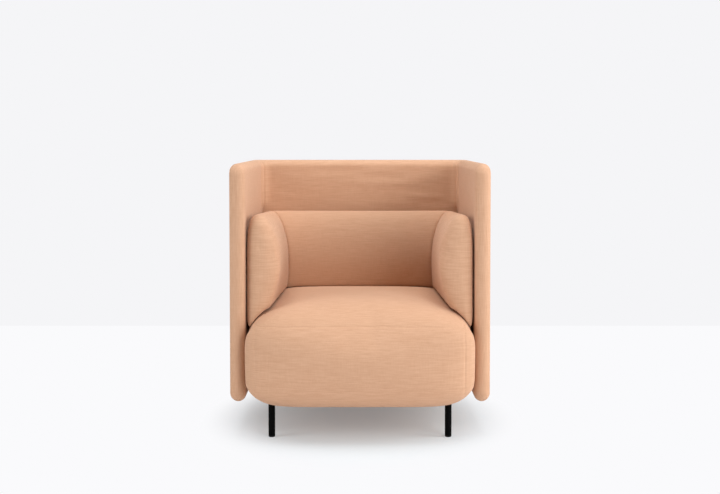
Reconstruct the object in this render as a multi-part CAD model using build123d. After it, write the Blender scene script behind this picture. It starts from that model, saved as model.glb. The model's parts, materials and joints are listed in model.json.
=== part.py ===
from build123d import *
from functools import cache
import math
import os

# Upholstered lounge chair: a puffy seat on four steel legs, a U of back and arm cushions,
# and a tall shell of three padded panels round them.
# +Z is up, the chair faces -Y, and the origin is on the floor under the middle of the chair.
# All sizes are millimetres.

# Overall sizes
overall_width = 850.0
overall_depth = 770.0
overall_height = 895.0

# Shell panels
panel_thickness = 52.0
panel_floor_gap = 115.0
panel_corner_extra = 15.0      # outline corner radius beyond the edge rounding
edge_flat = 0.5                # half of the flat strip left along a rounded panel edge
joint_round = 8.0              # softer rounding where the back panel meets the side panels
core_thickness = 18.0

# Seat
seat_overhang = 90.0           # seat front ahead of the side panels
seat_floor_gap = 106.0
seat_crown_height = 448.0
seat_crown_radius = 5500.0
seat_top_round = 115.0
seat_bottom_round = 100.0
seat_corner_extra = 15.0       # plan corner radius beyond the larger edge rounding

# Back and arm cushions
cushion_rise = 264.0           # top of the U of cushions above the seat's crown
cushion_tuck = 76.0            # their lowest point below the crown, between the seat and the shell
arm_thickness = 112.0
back_thickness = 135.0
arm_setback = 14.0             # arm front behind the side panel front
arm_top_round = 55.0
back_top_round = 60.0
arm_front_round = 45.0
arm_front_crease = 1.0         # front rounding starts this far outside the faces, as a soft crease
belly_drop = 57.0              # fullest point of the cushions below their top rounding
arm_belly_radius = 430.0
board_thickness = 12.0
board_edge = 28.0              # cushion left round the edge of a stiffening board
board_corner_radius = 20.0

# Cloth and clearances
cover_thickness = 2.0
dust_cover_thickness = 1.0
soft_gap = 0.5                 # between neighbouring soft pieces
fit_gap = 0.3                  # between a cover and its filling, and round a pocket
seam_gap = 0.4                 # between the arm and back cushions along their mitre
drill_gap = 0.2                # round bolts, sleeves and dowels

# Seat frame
frame_rise = 12.0              # frame underside above the seat underside
frame_margin = 6.0             # padding between the frame's lower edge and the cover
rail_height = 88.0
rail_thickness = 50.0
corner_block_size = 100.0
dowel_radius = 5.0
dowel_length = 40.0
dowel_edge = 24.0              # dowel axis from the top and bottom of a rail
hem_width = 42.0               # cover turned under the frame
strap_width = 60.0
strap_gap = 22.0
strap_thickness = 2.0
strap_end_margin = 8.0

# Legs and levelling feet
leg_radius = 11.0
leg_wall = 2.0
leg_cap = 6.0
leg_plug = 20.0
leg_side_distance = 25.0       # leg axis from the frame's outer side
leg_end_distance = 60.0        # leg axis from the frame's front or rear
leg_hole_gap = 0.3
stud_radius = 5.0
stud_length = 28.0
insert_radius = 8.0
insert_length = 32.0
foot_radius = 10.7
foot_height = 6.0
foot_round = 2.5
foot_stem_radius = 4.0
foot_stem_length = 24.0
foot_stem_gap = 0.05
foot_gap = 0.2

# Bolts: seat to shell, cushions to shell, and back panel to side panels
seat_bolt_radius = 4.0
cushion_bolt_radius = 3.0
corner_bolt_radius = 3.0
bolt_head_height = 5.0
bolt_tip = 5.0
nut_wall = 2.0
nut_flange_wall = 6.0
nut_flange_thickness = 1.5
nut_barrel_length = 9.0
corner_insert_length = 30.0
corner_bolt_grip = 25.0
seat_spacer_radius = 18.0
cushion_spacer_radius = 12.0
corner_spacer_radius = 8.0
seat_bolt_spacing = 300.0
cushion_bolt_spacing = 260.0
cushion_bolt_rise = 100.0      # between the two rows of bolts in a cushion board
corner_bolt_spacing = 255.0

# Places that follow from the sizes above
side_outer = overall_width / 2
side_inner = side_outer - panel_thickness
rear_outer = overall_depth / 2
rear_inner = rear_outer - panel_thickness
seat_front = -overall_depth / 2
panel_front = seat_front + seat_overhang
panel_padding = (panel_thickness - core_thickness) / 2
panel_height = overall_height - panel_floor_gap
panel_middle = panel_floor_gap + panel_height / 2
edge_round = panel_thickness / 2 - edge_flat

seat_half_width = side_inner - soft_gap
seat_rear = rear_inner - soft_gap
seat_middle = (seat_front + seat_rear) / 2
seat_corner_radius = max(seat_top_round, seat_bottom_round) + seat_corner_extra

cushion_height = seat_crown_height + cushion_rise
cushion_toe_height = seat_crown_height - cushion_tuck
cushion_outer = side_inner - soft_gap
cushion_rear = rear_inner - soft_gap
arm_front = panel_front + arm_setback
back_belly_radius = arm_belly_radius * arm_thickness / back_thickness
mitre_slope = arm_thickness / back_thickness


def roundover_inset(radius, rise):
    """How far a quarter-round edge is drawn in at this rise above the flat face it starts from."""
    return radius - math.sqrt(radius**2 - (radius - rise) ** 2)


frame_bottom = seat_floor_gap + frame_rise
frame_top = frame_bottom + rail_height
frame_inset = roundover_inset(seat_bottom_round, frame_rise) + frame_margin
frame_side = seat_half_width - frame_inset
frame_front = seat_front + frame_inset
frame_rear = seat_rear - frame_inset
block_inner_x = frame_side - corner_block_size
block_front_y = frame_front + corner_block_size
block_rear_y = frame_rear - corner_block_size
web_top = frame_top + 2 * strap_thickness
leg_x = frame_side - leg_side_distance
leg_ys = (frame_front + leg_end_distance, frame_rear - leg_end_distance)

core_inner = side_inner + panel_padding
core_outer = core_inner + core_thickness
back_core_front = rear_inner + panel_padding
back_core_rear = back_core_front + core_thickness
back_core_side = cushion_outer - panel_padding
board_outer = cushion_outer - cover_thickness - fit_gap
board_rear = cushion_rear - cover_thickness - fit_gap
board_bottom = cushion_toe_height + board_edge
board_top = cushion_height - arm_top_round - board_edge / 2
board_middle = (board_bottom + board_top) / 2
arm_board_front = arm_front + arm_front_round
arm_board_rear = cushion_rear - back_thickness
back_board_side = cushion_outer - arm_thickness

seat_spacer_length = core_inner - frame_side
rear_spacer_length = back_core_front - frame_rear
cushion_spacer_length = core_inner - board_outer
corner_spacer_length = core_inner - back_core_side


# Helpers

def upright(low, high, *points):
    """Upright prism on a closed plan polygon, from one height to another."""
    plan = make_face(Polyline(*points, close=True))
    return extrude(Pos(0, 0, low) * plan, high - low)


def cuboid(x0, x1, y0, y1, z0, z1):
    """Box between two corners."""
    return Pos((x0 + x1) / 2, (y0 + y1) / 2, (z0 + z1) / 2) * Box(x1 - x0, y1 - y0, z1 - z0)


def rod(line, start, end, radius):
    """Cylinder on a line, from one distance along it to another."""
    base = (Align.CENTER, Align.CENTER, Align.MIN)
    return line * Pos(0, 0, start) * Cylinder(radius, end - start, align=base)


def drill(shape, cutters):
    """The shape with every cutter taken out of it."""
    for cutter in cutters:
        shape = shape - cutter
    return shape


def left(shape):
    """The same piece on the chair's other side."""
    return mirror(shape, about=Plane.YZ)


def write(name, *solids):
    """One STEP file for a node of one or more separate solids."""
    shape = solids[0] if len(solids) == 1 else Compound(children=list(solids))
    export_step(shape, f"parts/{name}.step")


# Forms: each is the outer shape of an upholstered piece with every face moved in by inset

@cache
def seat_form(inset):
    """Cushion block with a crowned top and large rounded edges."""
    depth = seat_rear - seat_front - 2 * inset
    plan = RectangleRounded(2 * (seat_half_width - inset), depth, seat_corner_radius - inset)
    block = extrude(Pos(0, seat_middle, seat_floor_gap + inset) * plan, seat_crown_height)
    crown = Rot(90, 0, 0) * Sphere(seat_crown_radius - inset)
    block = block & (Pos(0, seat_middle, seat_crown_height - seat_crown_radius) * crown)
    block = fillet(block.faces().sort_by(Axis.Z)[-1].edges(), seat_top_round - inset)
    return fillet(block.faces().sort_by(Axis.Z)[0].edges(), seat_bottom_round - inset)


@cache
def side_panel_form(inset):
    """Upright slab at the chair's right side, rounded over on every edge."""
    rounding = edge_round - inset
    depth = rear_outer - panel_front
    outline = RectangleRounded(
        depth - 2 * inset, panel_height - 2 * inset, rounding + panel_corner_extra
    )
    middle = Plane(
        ((side_inner + side_outer) / 2, (panel_front + rear_outer) / 2, panel_middle),
        x_dir=(0, 1, 0),
        z_dir=(1, 0, 0),
    )
    slab = extrude(middle * outline, panel_thickness / 2 - inset, both=True)
    rims = slab.faces().sort_by(Axis.X)[0].edges() + slab.faces().sort_by(Axis.X)[-1].edges()
    return fillet(rims, rounding)


@cache
def back_panel_form(inset):
    """Upright slab between the side panels, rounded over at its top and bottom."""
    outline = RectangleRounded(
        panel_thickness - 2 * inset, panel_height - 2 * inset, edge_round - inset
    )
    middle = Plane(
        (0, (rear_inner + rear_outer) / 2, panel_middle), x_dir=(0, 1, 0), z_dir=(1, 0, 0)
    )
    slab = extrude(middle * outline, cushion_outer - inset, both=True)
    ends = slab.faces().sort_by(Axis.X)[0].edges() + slab.faces().sort_by(Axis.X)[-1].edges()
    return fillet(ends, joint_round - inset)


def cushion_section(thickness, top_round, belly_radius, inset):
    """Bolster section standing at 0 on its flat back, with the belly towards +x and height along y."""
    back = inset
    belly = thickness - inset
    top = cushion_height - inset
    rounding = top_round - inset
    toe = cushion_toe_height + inset
    shoulder = top - rounding
    fullest = cushion_height - top_round - belly_drop
    curve = belly_radius - inset
    toe_depth = belly - roundover_inset(curve, curve - (fullest - toe))
    corner = rounding * (1 - math.sqrt(0.5))
    outline = [
        Line((back, toe), (back, shoulder)),
        ThreePointArc((back, shoulder), (back + corner, top - corner), (back + rounding, top)),
        Line((back + rounding, top), (belly - rounding, top)),
        ThreePointArc((belly - rounding, top), (belly - corner, top - corner), (belly, shoulder)),
        Line((belly, shoulder), (belly, fullest)),
        TangentArc((belly, fullest), (toe_depth, toe), tangent=(0, -1)),
        Line((toe_depth, toe), (back, toe)),
    ]
    return make_face(Wire(outline))


def mitre_prism(offset):
    """The back cushion's share of the plan: a triangle whose sides run along the two mitres."""
    shift = offset * math.hypot(arm_thickness, back_thickness) / back_thickness
    beyond = panel_padding
    base = cushion_outer + beyond * mitre_slope + shift
    apex = cushion_rear - (cushion_outer + shift) / mitre_slope
    rear = cushion_rear + beyond
    return upright(0, overall_height, (-base, rear), (base, rear), (0, apex))


@cache
def arm_form(inset):
    """Right arm cushion, mitred to the back cushion and hollowed underneath to sit on the seat."""
    section = cushion_section(arm_thickness, arm_top_round, arm_belly_radius, inset)
    front = Plane((cushion_outer, arm_front + inset, 0), x_dir=(-1, 0, 0), z_dir=(0, 1, 0))
    length = cushion_rear - arm_front - inset
    roll = extrude(front * section, length)
    middle = Pos(cushion_outer - arm_thickness / 2, arm_front + inset + length, 0)
    rounding = arm_front_round - inset
    crease = arm_front_crease
    plan = RectangleRounded(arm_thickness - 2 * inset + 2 * crease, 2 * length, rounding)
    roll = roll & extrude(middle * plan, cushion_height)
    side = Plane.YZ * RectangleRounded(2 * length, 2 * (cushion_height - inset + crease), rounding)
    roll = roll & extrude(middle * side, arm_thickness, both=True)
    return roll - mitre_prism(inset + seam_gap / 2) - seat_form(-soft_gap - inset)


@cache
def back_form(inset):
    """Back cushion, mitred at both ends and hollowed underneath to sit on the seat."""
    section = cushion_section(back_thickness, back_top_round, back_belly_radius, inset)
    side = Plane((0, cushion_rear, 0), x_dir=(0, -1, 0), z_dir=(-1, 0, 0))
    roll = extrude(side * section, cushion_outer, both=True)
    return (roll & mitre_prism(-inset - seam_gap / 2)) - seat_form(-soft_gap - inset)


def cover_of(form):
    """Cloth skin of a form."""
    return form(0) - form(cover_thickness)


@cache
def left_arm_form(inset):
    """Left arm cushion."""
    return left(arm_form(inset))


def filling_of(form):
    """What the cover holds, just clear of it."""
    return form(cover_thickness + fit_gap)


# Bolt lines: each starts on a core's outer face and points into the chair

def facing(x, y, z, direction):
    """Line from a point along a direction."""
    return Plane((x, y, z), z_dir=direction)


frame_mid_height = frame_bottom + rail_height / 2
inwards = (-1, 0, 0)
forwards = (0, -1, 0)
pair = (-0.5, 0.5)

side_seat_lines = [
    facing(core_outer, seat_middle + s * seat_bolt_spacing, frame_mid_height, inwards) for s in pair
]
rear_seat_lines = [
    facing(s * seat_bolt_spacing, back_core_rear, frame_mid_height, forwards) for s in pair
]
arm_board_middle = (arm_board_front + arm_board_rear) / 2
arm_lines = [
    facing(
        core_outer,
        arm_board_middle + s * cushion_bolt_spacing,
        board_middle + t * cushion_bolt_rise,
        inwards,
    )
    for s in pair
    for t in pair
]
back_lines = [
    facing(
        s * cushion_bolt_spacing, back_core_rear, board_middle + t * cushion_bolt_rise, forwards
    )
    for s in pair
    for t in pair
]
corner_lines = [
    facing(
        core_outer,
        (back_core_front + back_core_rear) / 2,
        panel_middle + k * corner_bolt_spacing,
        inwards,
    )
    for k in (-1, 0, 1)
]


def bolt(line, radius, reach):
    """Flat-headed bolt sunk in the core, whose tip is at reach."""
    head = rod(line, 0, bolt_head_height, 2 * radius)
    return head + rod(line, bolt_head_height, reach, radius)


def core_holes(lines, radius):
    """Bolt holes through a core with a seat for each head."""
    sunk = bolt_head_height
    shanks = [rod(line, sunk, core_thickness, radius + drill_gap) for line in lines]
    heads = [rod(line, 0, sunk, 2 * radius + drill_gap) for line in lines]
    return shanks + heads


def spacer(line, radius, length, bolt_radius):
    """Wooden sleeve between a core and what is bolted to it."""
    end = core_thickness + length
    sleeve = rod(line, core_thickness, end, radius)
    return sleeve - rod(line, core_thickness, end, bolt_radius + drill_gap)


def spacer_holes(lines, radius, length):
    """Ways through covers and fillings for the spacers."""
    end = core_thickness + length
    return [rod(line, core_thickness, end, radius + fit_gap) for line in lines]


def flange_nut(line, radius, face):
    """Nut with a barrel in the wood and a flange on the far face."""
    barrel = rod(line, face - nut_barrel_length, face, radius + nut_wall)
    flange = rod(line, face, face + nut_flange_thickness, radius + nut_flange_wall)
    bore = rod(line, face - nut_barrel_length, face + nut_flange_thickness, radius + drill_gap)
    return barrel + flange - bore


def nut_holes(lines, radius, near, face):
    """Bolt hole through the wood, widened at the far face for the nut's barrel."""
    shanks = [rod(line, near, face, radius + drill_gap) for line in lines]
    start = face - nut_barrel_length - drill_gap
    barrels = [rod(line, start, face, radius + nut_wall + drill_gap) for line in lines]
    return shanks + barrels


def tip_room(lines, radius, face):
    """Room in a filling for the flanges and bolt tips behind a board."""
    room = radius + nut_flange_wall + fit_gap
    return [rod(line, face, face + bolt_tip + fit_gap, room) for line in lines]


side_rail_face = core_thickness + seat_spacer_length + rail_thickness
rear_rail_face = core_thickness + rear_spacer_length + rail_thickness
arm_board_face = core_thickness + cushion_spacer_length + board_thickness
board_start = arm_board_face - board_thickness
corner_start = core_thickness + corner_spacer_length


# Seat frame

def frame_plan(grow):
    """Rounded plan outline of the seat frame, moved out by grow."""
    inset = frame_inset - grow
    width = 2 * (seat_half_width - inset)
    depth = seat_rear - seat_front - 2 * inset
    return Pos(0, seat_middle, 0) * RectangleRounded(width, depth, seat_corner_radius - inset)


def frame_dowels():
    """Dowels of the right half: two across each joint between a rail and a corner block."""
    heights = (frame_bottom + dowel_edge, frame_top - dowel_edge)
    made = []
    for z in heights:
        for y in (frame_front + rail_thickness / 2, frame_rear - rail_thickness / 2):
            made.append(facing(block_inner_x, y, z, inwards))
        for y in (block_front_y, block_rear_y):
            made.append(facing(frame_side - rail_thickness / 2, y, z, forwards))
    return made


dowel_lines = frame_dowels()
dowels = [rod(line, -dowel_length / 2, dowel_length / 2, dowel_radius) for line in dowel_lines]
dowel_reach = dowel_length / 2 + drill_gap
dowel_holes = [
    rod(line, -dowel_reach, dowel_reach, dowel_radius + drill_gap) for line in dowel_lines
]
leg_lines = [facing(leg_x, y, frame_bottom, (0, 0, 1)) for y in leg_ys]
insert_holes = [rod(line, 0, insert_length, insert_radius + drill_gap) for line in leg_lines]


def corner_block(y0, y1):
    """Solid block at the right end of the frame that ties two rails and takes a leg."""
    outline = extrude(Pos(0, 0, frame_bottom) * frame_plan(0), rail_height)
    block = outline & cuboid(block_inner_x, frame_side, y0, y1, frame_bottom, frame_top)
    return drill(block, dowel_holes + insert_holes)


def cross_rail(y0, y1, holes):
    """Front or rear rail between the corner blocks."""
    rail = cuboid(-block_inner_x, block_inner_x, y0, y1, frame_bottom, frame_top)
    return drill(rail, dowel_holes + [left(hole) for hole in dowel_holes] + holes)


def side_rail():
    """Right rail between the corner blocks."""
    inner = frame_side - rail_thickness
    rail = cuboid(inner, frame_side, block_front_y, block_rear_y, frame_bottom, frame_top)
    near = core_thickness + seat_spacer_length
    holes = nut_holes(side_seat_lines, seat_bolt_radius, near, side_rail_face)
    return drill(rail, dowel_holes + holes)


def strap_places(span):
    """Middles of as many straps as fit side by side in a span."""
    pitch = strap_width + strap_gap
    count = int((span + strap_gap) // pitch)
    return [(k - (count - 1) / 2) * pitch for k in range(count)]


def straps():
    """Elastic webbing: straps from front to rear, and straps across on top of them."""
    half = strap_width / 2
    mid = frame_top + strap_thickness
    y0 = frame_front + strap_end_margin
    y1 = frame_rear - strap_end_margin
    x1 = frame_side - strap_end_margin
    across_span = 2 * (frame_side - rail_thickness)
    along_span = frame_rear - frame_front - 2 * rail_thickness
    lengthwise = [
        cuboid(x - half, x + half, y0, y1, frame_top, mid) for x in strap_places(across_span)
    ]
    middle = (frame_front + frame_rear) / 2
    crosswise = [
        cuboid(-x1, x1, middle + y - half, middle + y + half, mid, web_top)
        for y in strap_places(along_span)
    ]
    return lengthwise, crosswise


# Seat upholstery

leg_ways = [rod(line, -frame_bottom, 0, leg_radius + leg_hole_gap) for line in leg_lines]
seat_ways = leg_ways + spacer_holes(side_seat_lines, seat_spacer_radius, seat_spacer_length)
seat_ways = seat_ways + [left(way) for way in seat_ways]
seat_ways = seat_ways + spacer_holes(rear_seat_lines, seat_spacer_radius, rear_spacer_length)


def underside_opening(low, high, shrink):
    """Opening in the seat's underside inside the turned-under hem."""
    return extrude(Pos(0, 0, low) * frame_plan(-hem_width - shrink), high - low)


def seat_cover():
    """Cloth over the whole seat, turned under the frame and open below."""
    skin = cover_of(seat_form) - underside_opening(0, frame_bottom, 0)
    return drill(skin, seat_ways)


def seat_foam():
    """Foam block over the webbing, round the frame and just under its edge."""
    low = frame_bottom - fit_gap
    pocket = extrude(Pos(0, 0, low) * frame_plan(fit_gap), web_top + fit_gap - low)
    foam = filling_of(seat_form) - pocket - underside_opening(0, frame_bottom, 0)
    return drill(foam, seat_ways)


# Shell panels

arm_ways = spacer_holes(arm_lines, cushion_spacer_radius, cushion_spacer_length)
back_ways = spacer_holes(back_lines, cushion_spacer_radius, cushion_spacer_length)
corner_ways = spacer_holes(corner_lines, corner_spacer_radius, corner_spacer_length)
side_panel_ways = (
    spacer_holes(side_seat_lines, seat_spacer_radius, seat_spacer_length) + arm_ways + corner_ways
)
back_panel_ways = (
    spacer_holes(rear_seat_lines, seat_spacer_radius, rear_spacer_length)
    + back_ways
    + corner_ways
    + [left(way) for way in corner_ways]
)


def side_core_block(grow):
    """Plywood board of the right panel, or its pocket when it is grown."""
    radius = edge_round + panel_corner_extra - panel_padding + grow
    inset = panel_padding - grow
    outline = RectangleRounded(
        rear_outer - panel_front - 2 * inset, panel_height - 2 * inset, radius
    )
    face = Plane(
        (core_inner - grow, (panel_front + rear_outer) / 2, panel_middle),
        x_dir=(0, 1, 0),
        z_dir=(1, 0, 0),
    )
    return extrude(face * outline, core_thickness + 2 * grow)


def back_core_block(grow):
    """Plywood board of the back panel, or its pocket when it is grown."""
    low = panel_floor_gap + panel_padding - grow
    high = overall_height - panel_padding + grow
    side = back_core_side + grow
    return cuboid(-side, side, back_core_front - grow, back_core_rear + grow, low, high)


def side_core():
    """Right core with every bolt hole."""
    holes = (
        core_holes(side_seat_lines, seat_bolt_radius)
        + core_holes(arm_lines, cushion_bolt_radius)
        + core_holes(corner_lines, corner_bolt_radius)
    )
    return drill(side_core_block(0), holes)


def back_core():
    """Back core with its bolt holes, and holes in its ends for the corner inserts."""
    end = corner_start + corner_insert_length + drill_gap
    radius = corner_bolt_radius + nut_wall + drill_gap
    inserts = [rod(line, corner_start, end, radius) for line in corner_lines]
    holes = core_holes(rear_seat_lines, seat_bolt_radius)
    holes = holes + core_holes(back_lines, cushion_bolt_radius)
    return drill(back_core_block(0), holes + inserts + [left(hole) for hole in inserts])


def corner_insert(line):
    """Threaded sleeve in the end of the back core."""
    end = corner_start + corner_insert_length
    sleeve = rod(line, corner_start, end, corner_bolt_radius + nut_wall)
    return sleeve - rod(line, corner_start, end, corner_bolt_radius + drill_gap)


# Back and arm cushions

def arm_board_block(grow):
    """Stiffening board in the right arm, or its pocket when it is grown."""
    width = arm_board_rear - arm_board_front + 2 * grow
    outline = RectangleRounded(
        width, board_top - board_bottom + 2 * grow, board_corner_radius + grow
    )
    face = Plane((board_outer, arm_board_middle, board_middle), x_dir=(0, 1, 0), z_dir=inwards)
    return extrude(face * outline, board_thickness + grow)


def back_board_block(grow):
    """Stiffening board in the back cushion, or its pocket when it is grown."""
    outline = RectangleRounded(
        2 * (back_board_side + grow), board_top - board_bottom + 2 * grow, board_corner_radius + grow
    )
    face = Plane((0, board_rear, board_middle), x_dir=(1, 0, 0), z_dir=forwards)
    return extrude(face * outline, board_thickness + grow)


def cushion_board(block, lines):
    """A board with its bolt and nut holes."""
    return drill(block(0), nut_holes(lines, cushion_bolt_radius, board_start, arm_board_face))


def cushion_foam(form, block, lines):
    """Foam with a pocket for the board and room behind it for the nuts."""
    room = tip_room(lines, cushion_bolt_radius, arm_board_face)
    return drill(filling_of(form) - block(fit_gap), room)


# Legs and feet

def leg(line):
    """Steel tube with a stud welded in its top cap and a threaded plug in its foot end."""
    bottom = foot_height + foot_gap - frame_bottom
    tube = rod(line, bottom, 0, leg_radius) + rod(line, 0, stud_length, stud_radius)
    hollow = rod(line, bottom + leg_plug, -leg_cap, leg_radius - leg_wall)
    thread = rod(line, bottom, bottom + leg_plug, foot_stem_radius + foot_stem_gap)
    return tube - hollow - thread


def leg_insert(line):
    """Threaded sleeve in a corner block that takes a leg's stud."""
    sleeve = rod(line, 0, insert_length, insert_radius)
    return sleeve - rod(line, 0, insert_length, stud_radius + drill_gap)


def foot(line):
    """Levelling foot: a round pad with a threaded stem up into the leg."""
    floor = -frame_bottom
    pad = rod(line, floor, floor + foot_height, foot_radius)
    pad = fillet(pad.faces().sort_by(Axis.Z)[0].edges(), foot_round)
    stem_end = floor + foot_height + foot_stem_length
    return pad + rod(line, floor + foot_height, stem_end, foot_stem_radius)


def build():
    """Makes every node and writes its file."""
    os.makedirs("parts", exist_ok=True)

    front_block = corner_block(frame_front, block_front_y)
    rear_block = corner_block(block_rear_y, frame_rear)
    for name, block in (("front", front_block), ("rear", rear_block)):
        write(f"{name}_right_corner_block", block)
        write(f"{name}_left_corner_block", left(block))
    write("front_rail", cross_rail(frame_front, frame_front + rail_thickness, []))
    near = core_thickness + rear_spacer_length
    rear_holes = nut_holes(rear_seat_lines, seat_bolt_radius, near, rear_rail_face)
    write("rear_rail", cross_rail(frame_rear - rail_thickness, frame_rear, rear_holes))
    rail = side_rail()
    write("right_rail", rail)
    write("left_rail", left(rail))
    write("frame_dowels", *dowels, *[left(dowel) for dowel in dowels])
    lengthwise, crosswise = straps()
    write("lengthwise_webbing", *lengthwise)
    write("crosswise_webbing", *crosswise)

    write("seat_foam", seat_foam())
    write("seat_cover", seat_cover())
    sheet_bottom = frame_bottom - dust_cover_thickness
    write("dust_cover", underside_opening(sheet_bottom, frame_bottom, fit_gap))

    side_padding = drill(filling_of(side_panel_form) - side_core_block(fit_gap), side_panel_ways)
    side_cover = drill(cover_of(side_panel_form), side_panel_ways)
    for name, piece in (
        ("panel_core", side_core()),
        ("panel_padding", side_padding),
        ("panel_cover", side_cover),
    ):
        write(f"right_{name}", piece)
        write(f"left_{name}", left(piece))
    write("back_panel_core", back_core())
    back_padding = filling_of(back_panel_form) - back_core_block(fit_gap)
    write("back_panel_padding", drill(back_padding, back_panel_ways))
    write("back_panel_cover", drill(cover_of(back_panel_form), back_panel_ways))

    arm_board = cushion_board(arm_board_block, arm_lines)
    arm_foam = cushion_foam(arm_form, arm_board_block, arm_lines)
    write("right_arm_board", arm_board)
    write("left_arm_board", left(arm_board))
    write("right_arm_foam", arm_foam)
    write("left_arm_foam", left(arm_foam))
    write("right_arm_cover", drill(cover_of(arm_form), arm_ways))
    write("left_arm_cover", drill(cover_of(left_arm_form), [left(way) for way in arm_ways]))
    write("back_cushion_board", cushion_board(back_board_block, back_lines))
    write("back_cushion_foam", cushion_foam(back_form, back_board_block, back_lines))
    write("back_cushion_cover", drill(cover_of(back_form), back_ways))

    for side, mirrored in (("right", False), ("left", True)):
        for end, line in zip(("front", "rear"), leg_lines):
            made_leg, made_foot = leg(line), foot(line)
            write(f"{end}_{side}_leg", left(made_leg) if mirrored else made_leg)
            write(f"{end}_{side}_foot", left(made_foot) if mirrored else made_foot)
    inserts = [leg_insert(line) for line in leg_lines]
    write("leg_inserts", *inserts, *[left(insert) for insert in inserts])

    write_bolts()


def write_bolts():
    """Bolts, spacers and nuts, one node for each kind."""
    side_tip = side_rail_face + bolt_tip
    rear_tip = rear_rail_face + bolt_tip
    board_tip = arm_board_face + bolt_tip
    corner_tip = corner_start + corner_bolt_grip

    side = [bolt(line, seat_bolt_radius, side_tip) for line in side_seat_lines]
    rear = [bolt(line, seat_bolt_radius, rear_tip) for line in rear_seat_lines]
    write("seat_bolts", *side, *[left(one) for one in side], *rear)
    side = [
        spacer(line, seat_spacer_radius, seat_spacer_length, seat_bolt_radius)
        for line in side_seat_lines
    ]
    rear = [
        spacer(line, seat_spacer_radius, rear_spacer_length, seat_bolt_radius)
        for line in rear_seat_lines
    ]
    write("seat_spacers", *side, *[left(one) for one in side], *rear)
    side = [flange_nut(line, seat_bolt_radius, side_rail_face) for line in side_seat_lines]
    rear = [flange_nut(line, seat_bolt_radius, rear_rail_face) for line in rear_seat_lines]
    write("seat_bolt_nuts", *side, *[left(one) for one in side], *rear)

    side = [bolt(line, cushion_bolt_radius, board_tip) for line in arm_lines]
    rear = [bolt(line, cushion_bolt_radius, board_tip) for line in back_lines]
    write("cushion_bolts", *side, *[left(one) for one in side], *rear)
    length = cushion_spacer_length
    side = [
        spacer(line, cushion_spacer_radius, length, cushion_bolt_radius) for line in arm_lines
    ]
    rear = [
        spacer(line, cushion_spacer_radius, length, cushion_bolt_radius) for line in back_lines
    ]
    write("cushion_spacers", *side, *[left(one) for one in side], *rear)
    side = [flange_nut(line, cushion_bolt_radius, arm_board_face) for line in arm_lines]
    rear = [flange_nut(line, cushion_bolt_radius, arm_board_face) for line in back_lines]
    write("cushion_bolt_nuts", *side, *[left(one) for one in side], *rear)

    side = [bolt(line, corner_bolt_radius, corner_tip) for line in corner_lines]
    write("corner_bolts", *side, *[left(one) for one in side])
    length = corner_spacer_length
    side = [spacer(line, corner_spacer_radius, length, corner_bolt_radius) for line in corner_lines]
    write("corner_spacers", *side, *[left(one) for one in side])
    side = [corner_insert(line) for line in corner_lines]
    write("corner_inserts", *side, *[left(one) for one in side])


build()
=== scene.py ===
# %% [markdown]
# The lounge chair is a soft seat on four thin legs, a U of arm and back cushions, and a tall
# shell of three padded panels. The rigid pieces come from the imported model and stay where
# they are. The soft pieces are worked out here as numpy surfaces, puffed up with the cloth
# solver where they are stuffed, and dressed in a woven peach cloth.

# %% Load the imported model
import json
import math

import bmesh
import bpy
import numpy as np
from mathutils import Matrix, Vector


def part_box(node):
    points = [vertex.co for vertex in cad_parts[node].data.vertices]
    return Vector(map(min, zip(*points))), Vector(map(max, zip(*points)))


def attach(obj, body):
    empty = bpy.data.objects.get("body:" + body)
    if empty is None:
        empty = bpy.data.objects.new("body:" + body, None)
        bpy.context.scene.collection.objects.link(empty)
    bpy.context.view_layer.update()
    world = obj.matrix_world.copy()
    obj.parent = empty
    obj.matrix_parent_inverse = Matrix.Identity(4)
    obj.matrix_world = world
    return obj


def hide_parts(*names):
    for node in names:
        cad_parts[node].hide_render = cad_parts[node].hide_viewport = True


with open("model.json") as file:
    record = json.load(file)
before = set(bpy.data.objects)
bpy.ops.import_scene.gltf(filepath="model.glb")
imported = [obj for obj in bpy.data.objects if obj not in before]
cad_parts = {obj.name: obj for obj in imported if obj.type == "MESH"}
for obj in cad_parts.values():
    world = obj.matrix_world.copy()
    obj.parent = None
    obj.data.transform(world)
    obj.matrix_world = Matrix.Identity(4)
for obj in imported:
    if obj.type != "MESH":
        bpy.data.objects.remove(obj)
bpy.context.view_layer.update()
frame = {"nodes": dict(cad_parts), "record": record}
MM = 0.001

# %% [markdown]
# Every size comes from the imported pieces: a node's box gives its lowest and highest corner
# in metres. The names below are the faces that the soft pieces have to meet.

# %% Measure the pieces that the upholstery meets
seat_low, seat_high = (np.array(corner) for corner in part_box("seat_cover"))
arm_low, arm_high = (np.array(corner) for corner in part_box("right_arm_cover"))
back_low, back_high = (np.array(corner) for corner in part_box("back_cushion_cover"))
side_low, side_high = (np.array(corner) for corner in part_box("right_panel_cover"))
shell_low, shell_high = (np.array(corner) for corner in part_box("back_panel_cover"))
dust_low, dust_high = (np.array(corner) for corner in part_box("dust_cover"))

ARM_THICKNESS = arm_high[0] - arm_low[0]
BACK_THICKNESS = back_high[1] - back_low[1]
CUSHION_OUTER = arm_high[0]
CUSHION_REAR = back_high[1]
CUSHION_TOP = arm_high[2]
CUSHION_TOE = arm_low[2]
SEAT_MIDDLE_Y = (seat_low[1] + seat_high[1]) / 2
print("seat", seat_low.round(3), seat_high.round(3), "arm", ARM_THICKNESS, "back", BACK_THICKNESS)


# %% [markdown]
# A surface here is a grid of points: stations along a path, and at each station a closed
# loop. One helper turns such a grid into a closed mesh. Points that fall together, as at a
# rounded end, are merged, and the faces are turned to point outwards.

# %% Turn a grid of loops into a mesh
def shade_smooth(mesh):
    """Marks every face as smooth."""
    mesh.polygons.foreach_set("use_smooth", np.ones(len(mesh.polygons), bool))


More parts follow.
